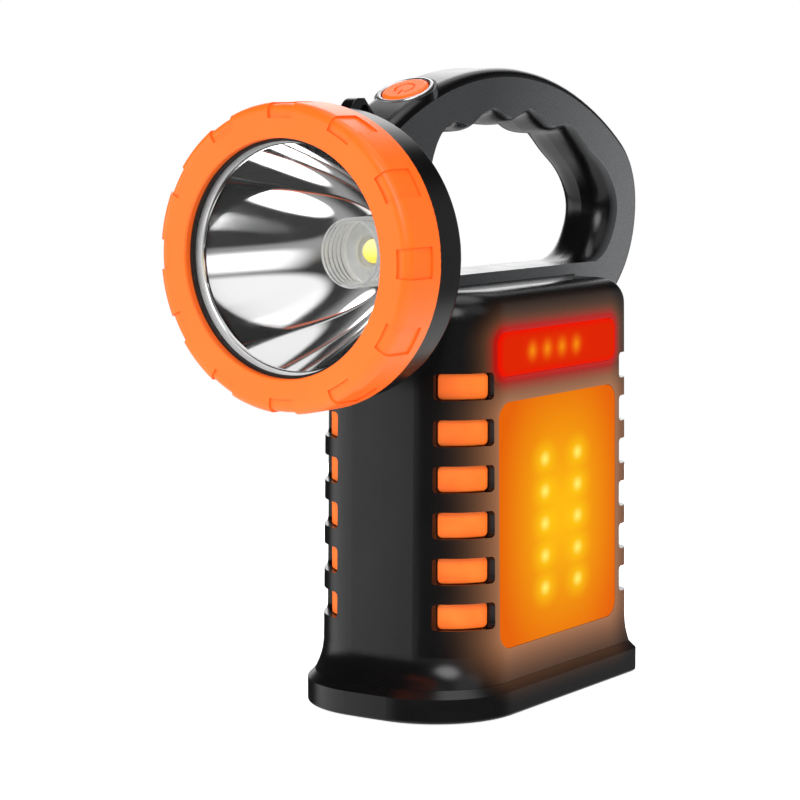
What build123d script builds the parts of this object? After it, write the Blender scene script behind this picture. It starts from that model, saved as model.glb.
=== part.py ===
from build123d import *
import os
from math import asin, cos, degrees, radians, sin, sqrt, tan

os.makedirs("parts", exist_ok=True)

# A hand-held fire-service searchlight: round lamp head in front, box body below, closed
# finger-grip handle behind. +Z is up, the beam points along -Y, the side lights face +X.
# The origin is the middle of the foot pad, on the ground. All sizes are in millimetres.

# ---------------------------------------------------------------- driving dimensions
WALL = 2.5                    # moulded wall of the body shells
GAP = 0.15                    # clearance between pieces that drop into each other

HEAD_Z = 135.2                # height of the lamp axis
BEZEL_RADIUS = 42.5
BEZEL_FRONT = -91.4
BEZEL_BACK = -76.2
BEZEL_OPENING = 32.7
BEZEL_BORE = 39.6
POCKET_COUNT = 12
POCKET_ANGLE = 11.5
POCKET_DEPTH = 0.6
BEZEL_ROUND = 2.8             # rounding of its front outer edge
LENS_RADIUS = 39.3
HOUSING_RADIUS = 40.8
HOUSING_BACK = -62.5
BOWL_RADIUS = 38.2            # the bowl behind the housing

REFLECTOR_FOCUS = 5.7
REFLECTOR_VERTEX = -41.2
REFLECTOR_FRONT = -84.2
REFLECTOR_TAIL = -46.0
REFLECTOR_SKIN = 1.2

BODY_HALF = 30.0              # half width of the body at mid height
BODY_FRONT = -42.3
BODY_BACK = 50.3
BODY_SAG = 1.3                # bulge of the front face
BODY_TOP = 123.7
SHOULDER_RADIUS = 8.0         # rounding all round the body's top
BODY_FRONT_ROUND = 20.0       # its vertical corners, seen from above
BODY_BACK_ROUND = 5.5
PLATEAU_TOP = 127.0           # raised strip under the hand
PLATEAU_HALF = 9.4
DRAFT = 0.6                   # degrees that the body narrows by towards the top
SPREAD = 0.65                 # how much further out its outline is at the skirt's top

BASE_HALF = 33.5
BASE_FRONT = -51.5
BASE_BACK = 53.2
BASE_FRONT_ROUND = 27.0
BASE_BACK_ROUND = 6.0
BASE_SAG = 2.5
BASE_BOTTOM = 0.5
BASE_TOP = 9.9
BASE_BEVEL = 2.2
SKIRT_TOP = 18.5

HANDLE_HALF = 9.5             # half width of the handle
CROWN_Y = 10.7                # centre and radius of the handle's long top arc
CROWN_Z = 63.8
CROWN_RADIUS = 123.6
HANDLE_ROUND = 4.0

SLOT_PITCH = 13.3             # grip slots on the four vertical corners
SLOT_COUNT = 6
SLOT_HEIGHT = 7.8
SLOT_MIDDLE = 63.5
SLOT_INNER = 16.6

AMBER_Y = (-26.2, 40.5)       # window of the amber area light
AMBER_Z = (19.5, 91.5)
RED_Y = (-26.5, 39.8)         # window of the red warning light
RED_Z = (98.8, 111.8)

BUTTON_Y = -30.2
BUTTON_RADIUS = 6.95
BUTTON_DROP = 1.15            # how far its seat lies below the crown
BUTTON_TILT = -24.4           # degrees, forwards

PORT_X = 9.4                  # charging port in the back wall
PORT_Z = 40.0

SOCKET_FACE = BODY_BACK - 1.4
FLAP_PIN = (BODY_BACK - 0.2, PORT_Z + 5.6)
FLAP_PIN_RADIUS = 0.6

WIRES_X = (4.4, 5.3)
WIRE_RADIUS = 0.4

AMBER_CORNER = 5.0
RED_CORNER = 3.5

BATTERY_RADIUS = 9.15         # two cells of the 18650 size, upright, side by side
BATTERY_LENGTH = 65.0
BATTERY_X = -12.0
BATTERY_Y = (-12.0, 12.0)
BATTERY_LOW = 24.0

AMBER_LEDS_Y = (-1.3, 17.6)
AMBER_LEDS_Z = (34.2, 43.85, 53.5, 63.1, 72.7)
RED_LEDS_Y = (-9.0, -0.6, 7.8, 16.2)

SCREW_SHANK = 1.4
SCREW_HEAD = 2.5
HANDLE_SHANK = 1.2
UPPER_BOSSES = [(-24, 117.6), (36, 117.6)]
LOWER_BOSSES = [(-28, 14.1), (36, 14.1)]
BODY_BOSSES = UPPER_BOSSES + LOWER_BOSSES
BODY_BOSS_RADIUS = 4.0
HANDLE_BOSSES = [(13, 178.6), (84.8, 147), (-37.6, 160)]
HANDLE_BOSS_RADIUS = 3.2
HEAD_BOSSES = [(31 * cos(radians(a)), HEAD_Z + 31 * sin(radians(a))) for a in (45, 135, 225, 315)]
HEAD_BOSS_RADIUS = 3.2
BASE_BOSSES = [(-24, -16), (24, -16), (-24, 26), (24, 26)]
BASE_BOSS_RADIUS = 3.8

CAVITY_TOP = BODY_TOP - WALL
CAVITY_ROUND = 4.5
CHANNEL_HALF = 6.5
HAND_WALL = [(-29, 122), (-35.6, 134), (-35.8, 150), (-32.2, 163), (-26, 169.8), (-18, 173.6), (5, 177.2),
             (25, 176.8), (45, 173), (62, 166), (75, 157), (81, 146), (79, 135), (72, 124), (66, 120)]

FLANGE_X = BODY_HALF - WALL - 1.5       # back of the side lights' covers, inside the wall

LUG_HALF = 2.1
STRAP_HOLE = (-54.0, 174.6)
STRAP_HOLE_RADIUS = 2.1

HEAD_AXIS = Axis((0, 0, HEAD_Z), (0, 1, 0))


# ---------------------------------------------------------------- shared profiles
def plan_section(height, half, front, sag, back, front_radius, back_radius):
    """A body outline seen from above: bulged front, large front corners, small back corners."""
    with BuildSketch(Plane.XY.offset(height)) as plan:
        with BuildLine():
            ThreePointArc((-half, front + sag), (0, front), (half, front + sag))
            Polyline((half, front + sag), (half, back), (-half, back), (-half, front + sag))
        make_face()
        fillet(plan.vertices().group_by(Axis.Y)[0], front_radius)
        fillet(plan.vertices().group_by(Axis.Y)[-1], back_radius)
    return plan.sketch


def body_section(height, inset=0.0):
    """The body outline, moved inwards by inset."""
    return plan_section(height, BODY_HALF - inset, BODY_FRONT + inset, BODY_SAG, BODY_BACK - inset,
                        BODY_FRONT_ROUND - inset, max(BODY_BACK_ROUND - inset, 0.8))


def skirt_section(height, share):
    """Between the foot of the column, at share 0, and the top edge of the base, at share 1."""
    column = (BODY_HALF + SPREAD, BODY_FRONT - SPREAD, BODY_SAG, BODY_BACK + SPREAD,
              BODY_FRONT_ROUND + SPREAD, BODY_BACK_ROUND + SPREAD)
    base = (BASE_HALF - BASE_BEVEL, BASE_FRONT + BASE_BEVEL, BASE_SAG, BASE_BACK - BASE_BEVEL,
            BASE_FRONT_ROUND - BASE_BEVEL, BASE_BACK_ROUND - BASE_BEVEL)
    return plan_section(height, *[low + share * (high - low) for low, high in zip(column, base)])


def base_section(height, inset=0.0):
    """The outline of the base, moved inwards by inset."""
    return plan_section(height, BASE_HALF - inset, BASE_FRONT + inset, BASE_SAG, BASE_BACK - inset,
                        BASE_FRONT_ROUND - inset, max(BASE_BACK_ROUND - inset, 2.0))


def shoulder_profile(top, half, corner):
    """The body seen from the front, with its rounded shoulders, on a plane behind it."""
    with BuildSketch(Plane.XZ.offset(60)) as front_view:
        with Locations((0, top / 2)):
            Rectangle(2 * half, top)
        fillet(front_view.vertices().group_by(Axis.Z)[-1], corner)
    return front_view.sketch


def side_profile(top, front, back, corner):
    """The body seen from the side, with its front and back top edges rounded."""
    with BuildSketch(Plane.YZ.offset(-60)) as side_view:
        with Locations(((front + back) / 2, top / 2)):
            Rectangle(back - front, top)
        fillet(side_view.vertices().group_by(Axis.Z)[-1], corner)
    return side_view.sketch


def turned_profile(points):
    """A half section of a turned piece from (y, radius) points, on the plane X = 0."""
    with BuildSketch(Plane.YZ) as section:
        with BuildLine():
            Polyline([(y, HEAD_Z + r) for y, r in points], close=True)
        make_face()
    return section.sketch


def reflector_curve(offset):
    """Points (y, z) down the reflector's parabola, moved outwards by offset."""
    steps = 9
    rims = [REFLECTOR_FRONT + i * (REFLECTOR_TAIL - REFLECTOR_FRONT) / steps for i in range(steps + 1)]
    return [(y, HEAD_Z + offset + sqrt(4 * REFLECTOR_FOCUS * (REFLECTOR_VERTEX - y))) for y in rims]


def crown_point(angle, inset=0.0):
    """A point on the handle's top arc, angle degrees behind its highest point."""
    radius = CROWN_RADIUS - inset
    return (CROWN_Y + radius * sin(radians(angle)), CROWN_Z + radius * cos(radians(angle)))


# The handle's back: points (y, z) and the heading of the outline there, in degrees.
HANDLE_BACK = [
    (81.5, 165.0, -35.5),
    (91.9, 145.4, -88.5),
    (80.5, 118.6, -137.6),
    (57.3, 97.4, -137.6),
    (BODY_BACK, 81.5, -90.0),
]
CROWN_END = 28.3              # degrees behind the top where the crown's long arc ends


def handle_section(inset, front_y):
    """The handle seen from the side, from the lamp head over the top and down into the back wall."""
    front_angle = degrees(asin((front_y - CROWN_Y) / (CROWN_RADIUS - inset)))
    start = crown_point(front_angle, inset)
    here = crown_point(CROWN_END, inset)
    heading = radians(-CROWN_END)
    with BuildSketch(Plane.YZ) as side:
        with BuildLine():
            ThreePointArc(start, crown_point(0, inset), here)
            for y, z, turned in HANDLE_BACK:
                there = (y + inset * sin(radians(turned)), z - inset * cos(radians(turned)))
                if radians(turned) == heading:
                    Line(here, there)
                else:
                    TangentArc(here, there, tangent=(cos(heading), sin(heading)))
                here = there
                heading = radians(turned)
            Polyline(here, (40 - inset, here[1]), (36, 112), (-32, 112), (-50, 124), (front_y, 146), start)
        make_face()
    return side.sketch


# The edge of the hand hole on the cheeks, paired with its inner surface on the middle plane.
# It starts low in front, goes over the four finger grooves and comes down at the back.
HAND_HOLE = [
    ((-26.0, 127.0), (-25.0, 127.0)),
    ((-30.8, 129.4), (-29.8, 129.6)),
    ((-33.2, 136.0), (-32.0, 136.5)),
    ((-33.6, 149.0), (-32.0, 149.0)),
    ((-31.0, 160.0), (-28.9, 158.8)),
    ((-25.0, 169.2), (-23.3, 167.0)),
    ((-17.6, 172.2), (-17.2, 169.6)),
    ((-10.3, 171.2), (-10.3, 168.5)),
    ((-4.2, 173.8), (-3.7, 171.2)),
    ((3.6, 175.8), (3.6, 173.2)),
    ((13.1, 173.0), (13.1, 170.3)),
    ((22.8, 175.4), (22.4, 172.7)),
    ((30.6, 173.2), (29.6, 170.5)),
    ((38.2, 170.1), (37.4, 167.5)),
    ((45.4, 170.6), (44.2, 168.0)),
    ((53.2, 167.4), (51.6, 164.8)),
    ((60.2, 162.4), (58.0, 160.0)),
    ((68.4, 158.0), (64.6, 154.8)),
    ((75.9, 150.8), (69.3, 148.6)),
    ((78.6, 144.4), (70.5, 143.2)),
    ((76.9, 136.7), (67.6, 136.0)),
    ((72.2, 130.2), (61.8, 130.2)),
    ((62.0, 127.0), (52.0, 127.0)),
]


def hand_hole_section(x, share):
    """The hand hole's outline at x: share 0 is the middle plane's, and share 1 the cheeks'."""
    points = [
        (middle[0] + share * (edge[0] - middle[0]), middle[1] + share * (edge[1] - middle[1]))
        for edge, middle in HAND_HOLE
    ]
    with BuildSketch(Plane.YZ.offset(x)) as hole:
        with BuildLine():
            Spline(points)
            Line(points[-1], points[0])
        make_face()
    return hole.sketch


def corner_block(x, y, height, trim=0.0):
    """A block across one vertical body corner, with rounded ends, as a slot's cutter or its pad.
    x and y are (near, far) limits; near is the slot's end and far is outside the body."""
    with BuildPart(Plane((0, 0, height))) as block:
        depth_x = abs(x[1] - x[0]) - trim
        depth_y = abs(y[1] - y[0]) - trim
        middle_x = (x[0] + x[1]) / 2 + (trim / 2 if x[1] > x[0] else -trim / 2)
        middle_y = (y[0] + y[1]) / 2 + (trim / 2 if y[1] > y[0] else -trim / 2)
        with Locations((middle_x, middle_y)):
            Box(depth_x, depth_y, SLOT_HEIGHT - 2 * trim)
        along_y = block.edges().filter_by(Axis.Y).group_by(Axis.X)[0]
        along_x = block.edges().filter_by(Axis.X)
        ends = along_x.group_by(Axis.Y)[-1 if y[1] < y[0] else 0]
        fillet(along_y, 1.3)
        end_y = ends[0].center().Y
        fillet(block.edges().filter_by(Axis.X).filter_by(lambda e: abs(e.center().Y - end_y) < 0.01), 1.3)
    return block.part


FRONT_CORNER = ((SLOT_INNER, 32.0), (-28.0, -45.0))
BACK_CORNER = ((SLOT_INNER, 32.0), (43.0, 56.0))
SLOT_HEIGHTS = [SLOT_MIDDLE + (i - (SLOT_COUNT - 1) / 2) * SLOT_PITCH for i in range(SLOT_COUNT)]


def disc(plane, radius):
    """A round face in the middle of a plane."""
    with BuildSketch(plane) as face:
        Circle(radius)
    return face.sketch


def discs(plane, places, radius):
    """Equal round faces at places on a plane."""
    with BuildSketch(plane) as faces:
        with Locations(*places):
            Circle(radius)
    return faces.sketch


def window(y, z, corner, x, margin=0.0):
    """A rounded rectangle on a plane across X, for the side lights, grown by margin."""
    with BuildSketch(Plane.YZ.offset(x)) as face:
        with Locations(((y[0] + y[1]) / 2, (z[0] + z[1]) / 2)):
            RectangleRounded(y[1] - y[0] + 2 * margin, z[1] - z[0] + 2 * margin, corner + margin)
    return face.sketch


def port_outline(y, width, height, corner):
    """A rounded rectangle round the charging port, on a plane across Y; it is extruded towards -Y."""
    with BuildSketch(Plane.XZ.offset(-y)) as face:
        with Locations((PORT_X, PORT_Z)):
            RectangleRounded(width, height, corner)
    return face.sketch


def save(piece, name):
    """Labels a finished piece and writes its file."""
    piece.label = name
    export_step(piece, f"parts/{name}.step")


# ================================================================ lamp head
# ---- bezel ring: screws onto the housing and holds the lens; twelve shallow grip pockets
floor_y = BEZEL_FRONT + POCKET_DEPTH
corner_y = BEZEL_FRONT + BEZEL_ROUND
corner_z = HEAD_Z + BEZEL_RADIUS - BEZEL_ROUND
pocket_round = BEZEL_ROUND - POCKET_DEPTH
with BuildPart() as pocket_cutter:
    with BuildSketch(Plane.YZ):
        with BuildLine():
            Polyline((-92.4, HEAD_Z + 38.2), (floor_y, HEAD_Z + 38.2), (floor_y, corner_z))
            ThreePointArc((floor_y, corner_z),
                          (corner_y - pocket_round * cos(radians(45)), corner_z + pocket_round * sin(radians(45))),
                          (corner_y, corner_z + pocket_round))
            Polyline((corner_y, corner_z + pocket_round),
                     (-80.3, HEAD_Z + BEZEL_RADIUS - POCKET_DEPTH), (-80.3, HEAD_Z + 44),
                     (-92.4, HEAD_Z + 44), (-92.4, HEAD_Z + 38.2))
        make_face()
    revolve(axis=HEAD_AXIS, revolution_arc=POCKET_ANGLE)

with BuildPart() as bezel_ring:
    ring = turned_profile([
        (BEZEL_FRONT, BEZEL_OPENING), (BEZEL_FRONT, BEZEL_RADIUS), (BEZEL_BACK, BEZEL_RADIUS),
        (BEZEL_BACK, BEZEL_BORE), (BEZEL_FRONT + 2.3, BEZEL_BORE), (BEZEL_FRONT + 2.3, BEZEL_OPENING)])
    revolve(ring, axis=HEAD_AXIS)
    front_edges = bezel_ring.edges().filter_by(GeomType.CIRCLE).group_by(Axis.Y)[0]
    fillet(front_edges.sort_by(SortBy.RADIUS)[-1], BEZEL_ROUND)
    front_edges = bezel_ring.edges().filter_by(GeomType.CIRCLE).group_by(Axis.Y)[0]
    fillet(front_edges.sort_by(SortBy.RADIUS)[0], 0.5)
    back_edges = bezel_ring.edges().filter_by(GeomType.CIRCLE).group_by(Axis.Y)[-1]
    fillet(back_edges.sort_by(SortBy.RADIUS)[-1], 0.5)
    for i in range(POCKET_COUNT):
        turn = i * 360 / POCKET_COUNT - POCKET_ANGLE / 2
        add(pocket_cutter.part.rotate(HEAD_AXIS, turn), mode=Mode.SUBTRACT)
save(bezel_ring.part, "bezel_ring")

with BuildPart() as lens_gasket:
    revolve(turned_profile([(-89.1, 31.9), (-89.1, LENS_RADIUS), (-87.6, LENS_RADIUS), (-87.6, 31.9)]),
            axis=HEAD_AXIS)
save(lens_gasket.part, "lens_gasket")

with BuildPart() as front_lens:
    revolve(turned_profile([(-87.6, 0), (-87.6, LENS_RADIUS), (-85.4, LENS_RADIUS), (-85.4, 0)]),
            axis=HEAD_AXIS)
save(front_lens.part, "front_lens")

# ---- reflector: a deep paraboloid with a front flange and a flat tail ring
with BuildPart() as reflector:
    inner = reflector_curve(0)
    outer = reflector_curve(REFLECTOR_SKIN)
    with BuildSketch(Plane.YZ):
        with BuildLine():
            Spline(inner)
            Polyline(inner[-1], outer[-1])
            Spline(outer)
            Polyline(outer[0], (REFLECTOR_FRONT, HEAD_Z + LENS_RADIUS), (-85.4, HEAD_Z + LENS_RADIUS),
                     (-85.4, inner[0][1]), inner[0])
        make_face()
    revolve(axis=HEAD_AXIS)
save(reflector.part, "reflector")

# ---- light source: emitter on a star board, under a clear collar, on a finned heat sink
with BuildPart() as led_collar:
    collar = turned_profile([
        (-58.6, 9.2), (-58.6, 10.1), (-47.6, 10.3), (-47.6, 4.6), (-48.8, 4.6), (-48.8, 9.1)])
    revolve(collar, axis=HEAD_AXIS)
    fillet(led_collar.edges().filter_by(GeomType.CIRCLE).group_by(Axis.Y)[0], 0.35)
    revolve(turned_profile([(-47.6, 6.0), (-47.6, 9.9), (-45.8, 9.9), (-45.8, 6.0)]), axis=HEAD_AXIS)
save(led_collar.part, "led_collar")

with BuildPart() as led_emitter:
    with BuildSketch(Plane.XZ.offset(45.8)):
        with Locations((0, HEAD_Z)):
            RectangleRounded(7, 7, 0.8)
    extrude(amount=1.0)
    revolve(turned_profile([(-46.8, 0), (-46.8, 3.1), (-48.0, 2.7), (-49.0, 1.6), (-49.4, 0)]), axis=HEAD_AXIS)
save(led_emitter.part, "led_emitter")

with BuildPart() as led_board:
    revolve(turned_profile([(-45.8, 0), (-45.8, 10.0), (-44.2, 10.0), (-44.2, 0)]), axis=HEAD_AXIS)
save(led_board.part, "led_board")

with BuildPart() as heat_sink:
    revolve(turned_profile([
        (-44.2, 0), (-44.2, 15.0), (-41.5, 15.0), (-41.5, 11.0), (-38.9, 11.0), (-38.9, 0)]), axis=HEAD_AXIS)
    with Locations(*[(x, -39.9, HEAD_Z) for x in (-9, -6, -3, 0, 3, 6, 9)]):
        Box(1.6, 3.0, 30, mode=Mode.SUBTRACT)
save(heat_sink.part, "heat_sink")

# ---- head housing: the black rim behind the bezel
with BuildPart() as head_housing:
    revolve(turned_profile([
        (REFLECTOR_FRONT, 37.4), (REFLECTOR_FRONT, 39.4), (-75.5, 39.4), (-75.5, HOUSING_RADIUS),
        (HOUSING_BACK, HOUSING_RADIUS), (HOUSING_BACK, 26.0), (HOUSING_BACK - 2.2, 26.0),
        (HOUSING_BACK - 2.2, 37.4)]), axis=HEAD_AXIS)
    rear = head_housing.edges().filter_by(GeomType.CIRCLE).group_by(Axis.Y)[-1]
    fillet(rear.sort_by(SortBy.RADIUS)[-1], 2.2)
    with BuildSketch(Plane.XZ.offset(HOUSING_BACK * -1 - 1)):
        with Locations((0, HEAD_Z)):
            with PolarLocations(31, 4, start_angle=45):
                Circle(1.6)
    extrude(amount=5, mode=Mode.SUBTRACT)
save(head_housing.part, "head_housing")

with BuildPart() as bezel_seal:
    revolve(turned_profile([(-76.2, 39.5), (-76.2, 41.4), (-75.5, 41.4), (-75.5, 39.5)]), axis=HEAD_AXIS)
save(bezel_seal.part, "bezel_seal")

# ================================================================ body shells
# ---- handle loop, with its outer edges rounded and the hand hole cut out of it
with BuildPart() as handle_loop:
    extrude(handle_section(0, -56), amount=HANDLE_HALF, both=True)
    cheeks = handle_loop.edges().filter_by(lambda e: abs(abs(e.center().X) - HANDLE_HALF) < 0.01)
    behind = cheeks.filter_by(lambda e: e.center().Y > BODY_BACK - 0.8)
    over = cheeks.filter_by(lambda e: -50 < e.center().Y <= BODY_BACK - 0.8 and e.center().Z > 150)
    fillet(behind + over, HANDLE_ROUND)

with BuildPart() as hand_hole_half:
    for x, share in ((0, 0), (4.5, 0.10), (7.3, 0.35), (8.8, 0.66), (9.6, 1.0)):
        add(hand_hole_section(x, share))
    loft()

# ---- the column: drafted walls, then a rounding all round that leads into the flat top
SHOULDER_FOOT = BODY_TOP - SHOULDER_RADIUS
SHOULDER_INSET = (SHOULDER_FOOT - SKIRT_TOP) * tan(radians(DRAFT)) - SPREAD

with BuildPart() as column:
    add(body_section(SKIRT_TOP, -SPREAD))
    add(body_section(SHOULDER_FOOT, SHOULDER_INSET))
    loft(ruled=True)
    for climb in (0, 12, 26, 42, 58, 74, 90):
        add(body_section(SHOULDER_FOOT + SHOULDER_RADIUS * sin(radians(climb)),
                         SHOULDER_INSET + SHOULDER_RADIUS * (1 - cos(radians(climb)))))
    loft()

BUTTON_ANGLE = degrees(asin((BUTTON_Y - CROWN_Y) / CROWN_RADIUS))   # along the crown
BUTTON_SEAT = Plane(
    origin=(0, *crown_point(BUTTON_ANGLE, BUTTON_DROP)), x_dir=(1, 0, 0),
    z_dir=(0, sin(radians(BUTTON_TILT)), cos(radians(BUTTON_TILT))))

# ---- the whole outer form, before it is hollowed and split into two halves
with BuildPart() as outer_form:
    add(column.part)
    for height, share in ((BASE_TOP + 0.1, 1.0), (12.2, 0.56), (14.8, 0.20), (17.0, 0.05), (SKIRT_TOP, 0.0)):
        add(skirt_section(height, share))
    loft()
    # raised strip under the hand
    with BuildSketch(Plane.XZ.offset(-52)):
        with Locations((0, PLATEAU_TOP - 5)):
            Rectangle(2 * PLATEAU_HALF, 10)
    extrude(amount=90)
    # bowl behind the lamp head
    with BuildSketch(Plane.YZ):
        with BuildLine():
            Line((HOUSING_BACK, HEAD_Z), (HOUSING_BACK, HEAD_Z + BOWL_RADIUS))
            Spline((HOUSING_BACK, HEAD_Z + BOWL_RADIUS), (-57.5, HEAD_Z + 36.4), (-51, HEAD_Z + 32.2),
                   (-44, HEAD_Z + 25.8), (-38.2, HEAD_Z + 17.5), (-34.5, HEAD_Z + 6))
            Polyline((-34.5, HEAD_Z + 6), (-34.5, HEAD_Z), (HOUSING_BACK, HEAD_Z))
        make_face()
    revolve(axis=HEAD_AXIS)
    add(handle_loop.part)
    add(hand_hole_half.part, mode=Mode.SUBTRACT)
    add(hand_hole_half.part.mirror(Plane.YZ), mode=Mode.SUBTRACT)
    # round collar for the button
    extrude(disc(BUTTON_SEAT.offset(-5), 9.3), amount=6.2)

# ---- what is hollow: the battery bay, the bowl's inside and a wiring channel round the hand hole
with BuildPart() as channel:
    extrude(handle_section(3.0, -52), amount=CHANNEL_HALF, both=True)
    with BuildSketch(Plane.YZ) as round_hand:
        with BuildLine():
            Spline(HAND_WALL)
            Polyline(HAND_WALL[-1], (HAND_WALL[-1][0], 110), (HAND_WALL[0][0], 110), HAND_WALL[0])
        make_face()
    extrude(amount=10, both=True, mode=Mode.SUBTRACT)

with BuildPart() as cavity:
    extrude(body_section(BASE_TOP - 2, WALL), amount=CAVITY_TOP - BASE_TOP + 2)
    extrude(shoulder_profile(CAVITY_TOP, BODY_HALF - WALL, CAVITY_ROUND), amount=-120, mode=Mode.INTERSECT)
    extrude(side_profile(CAVITY_TOP, BODY_FRONT + WALL, BODY_BACK - WALL, CAVITY_ROUND), amount=120,
            mode=Mode.INTERSECT)
    revolve(turned_profile([
        (HOUSING_BACK - 0.5, 0), (HOUSING_BACK - 0.5, 35.4), (-57.5, 33.7), (-50, 28.5), (-44, 22.4),
        (-41.5, 18.5), (-41.5, 13.5), (-38.6, 12.0), (-37.2, 6.0), (-37.2, 0)]), axis=HEAD_AXIS)
    add(channel.part)

# ---- strap lug: a small arch clamped between the two shells, behind the lamp head
with BuildPart() as strap_lug:
    with BuildSketch(Plane.YZ) as arch:
        with BuildLine():
            Polyline((-45.6, 170.0), (-60.8, 170.0), (-60.8, 173.6))
            TangentArc((-60.8, 173.6), (-56.2, 178.6), tangent=(0, 1))
            Polyline((-56.2, 178.6), (-53.6, 178.6), (-46.2, 171.5), (-45.6, 170.0))
        make_face()
    extrude(amount=LUG_HALF, both=True)
    fillet(strap_lug.edges().filter_by(lambda e: e.center().Z > 171.6 and abs(e.center().X) > 1), 0.5)
    with Locations((0, -54.0, 167.5)):
        Box(2 * LUG_HALF, 7.0, 5.2)
    with Locations((0, -54.5, 165.2)):
        Box(8.4, 5.0, 1.6)
    extrude(discs(Plane.YZ.offset(-LUG_HALF), [STRAP_HOLE], STRAP_HOLE_RADIUS), amount=2 * LUG_HALF,
            mode=Mode.SUBTRACT)
save(strap_lug.part, "strap_lug")

# ---- the hollow form with its bosses, slots, windows and screw holes
with BuildPart() as shell:
    add(outer_form.part)
    add(cavity.part, mode=Mode.SUBTRACT)

    # screw bosses: across the body, across the handle, behind the lamp head, and over the base
    extrude(discs(Plane.YZ.offset(-26.5), UPPER_BOSSES, BODY_BOSS_RADIUS), amount=53)
    extrude(discs(Plane.YZ.offset(-28.2), LOWER_BOSSES, BODY_BOSS_RADIUS), amount=56.4)
    extrude(discs(Plane.YZ.offset(-7), HANDLE_BOSSES, HANDLE_BOSS_RADIUS), amount=14)
    extrude(discs(Plane.XZ.offset(-HOUSING_BACK - 7), HEAD_BOSSES, HEAD_BOSS_RADIUS), amount=7)
    extrude(discs(Plane.XY.offset(BASE_TOP + 0.1), BASE_BOSSES, BASE_BOSS_RADIUS), amount=7.5)
    # two ledges that carry the switch board
    with BuildSketch(BUTTON_SEAT.offset(-11.2)):
        with Locations((-6.3, -2.5), (6.3, -2.5)):
            Rectangle(1.8, 13)
    extrude(amount=1.5)

    # screw holes: clearance and counterbores on the left, pilot holes on the right
    extrude(discs(Plane.YZ.offset(-25), BODY_BOSSES, 1.6), amount=25, mode=Mode.SUBTRACT)
    extrude(discs(Plane.YZ.offset(-34), BODY_BOSSES, 2.8), amount=10, mode=Mode.SUBTRACT)
    extrude(discs(Plane.YZ, BODY_BOSSES, SCREW_SHANK), amount=11, mode=Mode.SUBTRACT)
    extrude(discs(Plane.YZ.offset(-7), HANDLE_BOSSES, 1.35), amount=7, mode=Mode.SUBTRACT)
    extrude(discs(Plane.YZ.offset(-11), HANDLE_BOSSES, 2.3), amount=5, mode=Mode.SUBTRACT)
    extrude(discs(Plane.YZ, HANDLE_BOSSES, HANDLE_SHANK), amount=7, mode=Mode.SUBTRACT)
    extrude(discs(Plane.XZ.offset(-HOUSING_BACK - 6), HEAD_BOSSES, SCREW_SHANK), amount=7,
            mode=Mode.SUBTRACT)
    extrude(discs(Plane.XY.offset(9), BASE_BOSSES, SCREW_SHANK), amount=7, mode=Mode.SUBTRACT)

    # grip slots on the four corners
    for height in SLOT_HEIGHTS:
        for corner in (FRONT_CORNER, BACK_CORNER):
            slot = corner_block(*corner, height)
            add(slot, mode=Mode.SUBTRACT)
            add(slot.mirror(Plane.YZ), mode=Mode.SUBTRACT)

    # windows of the side lights
    extrude(window(AMBER_Y, AMBER_Z, AMBER_CORNER, 24), amount=10, mode=Mode.SUBTRACT)
    extrude(window(RED_Y, RED_Z, RED_CORNER, 24), amount=10, mode=Mode.SUBTRACT)

    # stepped bore for the button and its ring
    extrude(disc(BUTTON_SEAT.offset(-6), 8.0), amount=5, mode=Mode.SUBTRACT)
    extrude(disc(BUTTON_SEAT.offset(-2), 7.3), amount=5, mode=Mode.SUBTRACT)
    extrude(disc(BUTTON_SEAT.offset(0.4), 8.5), amount=3, mode=Mode.SUBTRACT)

    # charging port: a rounded recess for the flap, with the socket's opening in its floor
    extrude(port_outline(BODY_BACK + 1, 11.2, 14.4, 2.4), amount=2.6, mode=Mode.SUBTRACT)
    extrude(port_outline(BODY_BACK + 1, 8.0, 9.2, 1.2), amount=5, mode=Mode.SUBTRACT)
    extrude(discs(Plane.YZ.offset(PORT_X - 6.5), [FLAP_PIN], FLAP_PIN_RADIUS), amount=13, mode=Mode.SUBTRACT)

    add(strap_lug.part, mode=Mode.SUBTRACT)

with BuildPart() as body_shell_left:
    add(shell.part)
    split(bisect_by=Plane.YZ, keep=Keep.BOTTOM)
save(body_shell_left.part, "body_shell_left")

with BuildPart() as body_shell_right:
    add(shell.part)
    split(bisect_by=Plane.YZ, keep=Keep.TOP)
save(body_shell_right.part, "body_shell_right")

# ---- grip inserts: soft corner strips behind the slots, with a low pad in each slot
def grip_insert(corner, y_limits):
    """The strip behind one vertical corner: a curved wall with six pads that show in the slots."""
    low, high = y_limits
    strip_height = SLOT_COUNT * SLOT_PITCH + 1.0
    with BuildPart() as insert:
        for inset, height, mode in (
            (WALL + 0.1, strip_height, Mode.ADD),
            (WALL + 1.9, strip_height + 2, Mode.SUBTRACT),
        ):
            extrude(body_section(SLOT_MIDDLE - height / 2, inset), amount=height, mode=mode)
        with Locations(((15.0 + 28.0) / 2, (low + high) / 2, SLOT_MIDDLE)):
            Box(13.0, high - low, strip_height + 4, mode=Mode.INTERSECT)
    with BuildPart() as pads:
        for height in SLOT_HEIGHTS:
            add(corner_block(*corner, height, trim=0.3))
        extrude(body_section(20, WALL - 0.6), amount=90, mode=Mode.INTERSECT)
        extrude(body_section(20, WALL + 1), amount=90, mode=Mode.SUBTRACT)
    with BuildPart() as whole:
        add(insert.part)
        add(pads.part)
    return whole.part


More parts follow.
